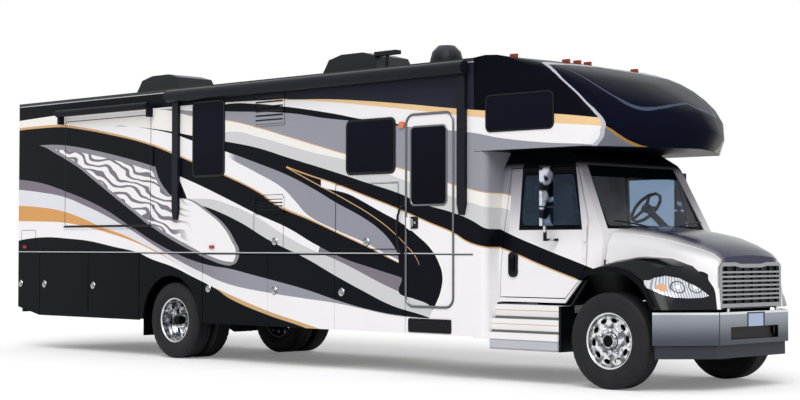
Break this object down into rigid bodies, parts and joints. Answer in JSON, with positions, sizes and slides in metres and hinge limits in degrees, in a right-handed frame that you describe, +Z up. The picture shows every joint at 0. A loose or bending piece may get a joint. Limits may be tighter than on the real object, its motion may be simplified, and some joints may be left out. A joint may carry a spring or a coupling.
{
  "type": "motorhome",
  "caption": "Motorhome on a bonneted truck chassis with overcab bunk, slide rooms, dual rear wheels, tilting hood, opening doors and steered front wheels.",
  "frame": {"origin": "on the road under the middle of the vehicle's box", "axes": "+X forward along the vehicle, +Y to its left, +Z up"},
  "size_m": [11.95, 2.87, 3.95],
  "materials": {
    "black_steel": "satin black chassis paint",
    "cast": "dull grey cast metal",
    "body_paint": "glossy pearl white with swept stripes",
    "skirt_paint": "glossy dark skirt paint with swept stripes",
    "roof_skin": "white roof membrane",
    "cap_paint": "glossy near-black moulded cap",
    "floor": "plain floor board",
    "dark_glass": "dark tinted glass",
    "cab_glass": "clear cab glass",
    "black_plastic": "grained black plastic",
    "awning_black": "black anodised awning",
    "lamp": "amber and red lamp lenses",
    "chrome": "bright chrome",
    "bumper_steel": "polished steel bumper",
    "lens": "clear headlamp lens",
    "tyre": "black tyre rubber",
    "rim": "polished aluminium",
    "interior": "dark cab trim",
    "ladder_metal": "black tube",
    "slide_paint": "glossy paint like the wall"
  },
  "bodies": {
    "root": {"chassis_frame": "black_steel", "axles": "cast", "engine_block": "cast", "coach_floor": "floor", "storage_bays": "skirt_paint", "wall_right": "body_paint", "wall_left": "body_paint", "television_box": "black_plastic", "rear_wall": "body_paint", "coach_roof": "roof_skin", "front_cap": "cap_paint", "cab_surround": "body_paint", "coach_windows": "dark_glass", "wall_vents": "black_plastic", "roof_units": "black_plastic", "awning": "awning_black", "lamps": "lamp", "rear_bumper": "black_steel", "ladder": "ladder_metal", "cab_shell": "body_paint", "windshield": "cab_glass", "cab_interior": "interior", "front_bumper": "bumper_steel", "air_dam": "black_plastic", "cab_steps": "body_paint"},
    "hood": {"hood": "body_paint", "grille": "chrome", "headlamps": "lens", "fender_flares": "black_plastic"},
    "cab_door_right": {"cab_door_right": "body_paint", "cab_door_glass_right": "cab_glass", "mirror_right": "chrome"},
    "cab_door_left": {"cab_door_left": "body_paint", "cab_door_glass_left": "cab_glass", "mirror_left": "chrome"},
    "entry_door": {"entry_door": "body_paint", "entry_window": "dark_glass"},
    "slide_right": {"slide_right": "slide_paint"},
    "slide_left": {"slide_left": "slide_paint", "slide_window": "dark_glass"},
    "hatch": {"hatch": "body_paint"},
    "steering_wheel": {"steering_wheel": "interior"},
    "knuckle_right": {"knuckle_right": "cast"},
    "knuckle_left": {"knuckle_left": "cast"},
    "wheel_front_right": {"tyre_front_right": "tyre", "rim_front_right": "rim"},
    "wheel_rear_right": {"tyre_rear_right": "tyre", "rim_rear_right": "rim"},
    "wheel_front_left": {"tyre_front_left": "tyre", "rim_front_left": "rim"},
    "wheel_rear_left": {"tyre_rear_left": "tyre", "rim_rear_left": "rim"},
    "baggage_door_right_1": {"baggage_door_right_1": "skirt_paint"},
    "baggage_door_right_2": {"baggage_door_right_2": "skirt_paint"},
    "baggage_door_right_3": {"baggage_door_right_3": "skirt_paint"},
    "baggage_door_right_4": {"baggage_door_right_4": "skirt_paint"},
    "baggage_door_right_5": {"baggage_door_right_5": "skirt_paint"},
    "baggage_door_left_1": {"baggage_door_left_1": "skirt_paint"},
    "baggage_door_left_2": {"baggage_door_left_2": "skirt_paint"}
  },
  "joints": [
    {"name": "steer_left", "type": "hinge", "parent": "root", "child": "knuckle_left", "pos_m": [4.955, 0.9, 0.505], "axis": [0, 0, 1], "range_deg": [-45, 45]},
    {"name": "roll_front_left", "type": "hinge", "parent": "knuckle_left", "child": "wheel_front_left", "pos_m": [4.955, 1.05, 0.505], "axis": [0, 1, 0], "continuous": true},
    {"name": "roll_rear_left", "type": "hinge", "parent": "root", "child": "wheel_rear_left", "pos_m": [-2.245, 0.922, 0.505], "axis": [0, 1, 0], "continuous": true},
    {"name": "open_cab_door_left", "type": "hinge", "parent": "root", "child": "cab_door_left", "pos_m": [4.555, 1.05, 1.5], "axis": [0, 0, -1], "range_deg": [0, 70]},
    {"name": "steer_right", "type": "hinge", "parent": "root", "child": "knuckle_right", "pos_m": [4.955, -0.9, 0.505], "axis": [0, 0, 1], "range_deg": [-45, 45]},
    {"name": "roll_front_right", "type": "hinge", "parent": "knuckle_right", "child": "wheel_front_right", "pos_m": [4.955, -1.05, 0.505], "axis": [0, 1, 0], "continuous": true},
    {"name": "roll_rear_right", "type": "hinge", "parent": "root", "child": "wheel_rear_right", "pos_m": [-2.245, -0.922, 0.505], "axis": [0, 1, 0], "continuous": true},
    {"name": "open_cab_door_right", "type": "hinge", "parent": "root", "child": "cab_door_right", "pos_m": [4.555, -1.05, 1.5], "axis": [0, 0, 1], "range_deg": [0, 70]},
    {"name": "turn_steering_wheel", "type": "hinge", "parent": "root", "child": "steering_wheel", "pos_m": [4.255, 0.45, 1.93], "axis": [-0.766, 0, 0.6428], "range_deg": [-810, 810]},
    {"name": "tilt_hood", "type": "hinge", "parent": "root", "child": "hood", "pos_m": [5.945, 0, 0.845], "axis": [0, 1, 0], "range_deg": [0, 65]},
    {"name": "open_entry_door", "type": "hinge", "parent": "root", "child": "entry_door", "pos_m": [2.855, -1.27, 1.9], "axis": [0, 0, 1], "range_deg": [0, 100]},
    {"name": "lift_hatch", "type": "hinge", "parent": "root", "child": "hatch", "pos_m": [1.465, -1.27, 2.232], "axis": [-1, 0, 0], "range_deg": [0, 90]},
    {"name": "extend_slide_right", "type": "slide", "parent": "root", "child": "slide_right", "axis": [0, -1, 0], "range_m": [0, 0.65]},
    {"name": "extend_slide_left", "type": "slide", "parent": "root", "child": "slide_left", "axis": [0, 1, 0], "range_m": [0, 0.79]},
    {"name": "open_baggage_door_right_1", "type": "hinge", "parent": "root", "child": "baggage_door_right_1", "pos_m": [-4.11452, -1.27, 0.93], "axis": [0, 0, 1], "range_deg": [0, 90]},
    {"name": "open_baggage_door_right_2", "type": "hinge", "parent": "root", "child": "baggage_door_right_2", "pos_m": [-2.939, -1.27, 0.93], "axis": [0, 0, 1], "range_deg": [0, 90]},
    {"name": "open_baggage_door_right_3", "type": "hinge", "parent": "root", "child": "baggage_door_right_3", "pos_m": [-0.29468, -1.27, 0.93], "axis": [0, 0, 1], "range_deg": [0, 90]},
    {"name": "open_baggage_door_right_4", "type": "hinge", "parent": "root", "child": "baggage_door_right_4", "pos_m": [0.91972, -1.27, 0.93], "axis": [0, 0, 1], "range_deg": [0, 90]},
    {"name": "open_baggage_door_right_5", "type": "hinge", "parent": "root", "child": "baggage_door_right_5", "pos_m": [2.101, -1.27, 0.93], "axis": [0, 0, 1], "range_deg": [0, 90]},
    {"name": "open_baggage_door_left_1", "type": "hinge", "parent": "root", "child": "baggage_door_left_1", "pos_m": [-4.11452, 1.27, 0.93], "axis": [0, 0, -1], "range_deg": [0, 90]},
    {"name": "open_baggage_door_left_2", "type": "hinge", "parent": "root", "child": "baggage_door_left_2", "pos_m": [0.91972, 1.27, 0.93], "axis": [0, 0, -1], "range_deg": [0, 90]}
  ],
  "couplings": [
    {"joint": "steer_right", "follows": "steer_left", "ratio": 1},
    {"joint": "turn_steering_wheel", "follows": "steer_left", "ratio": 18}
  ]
}
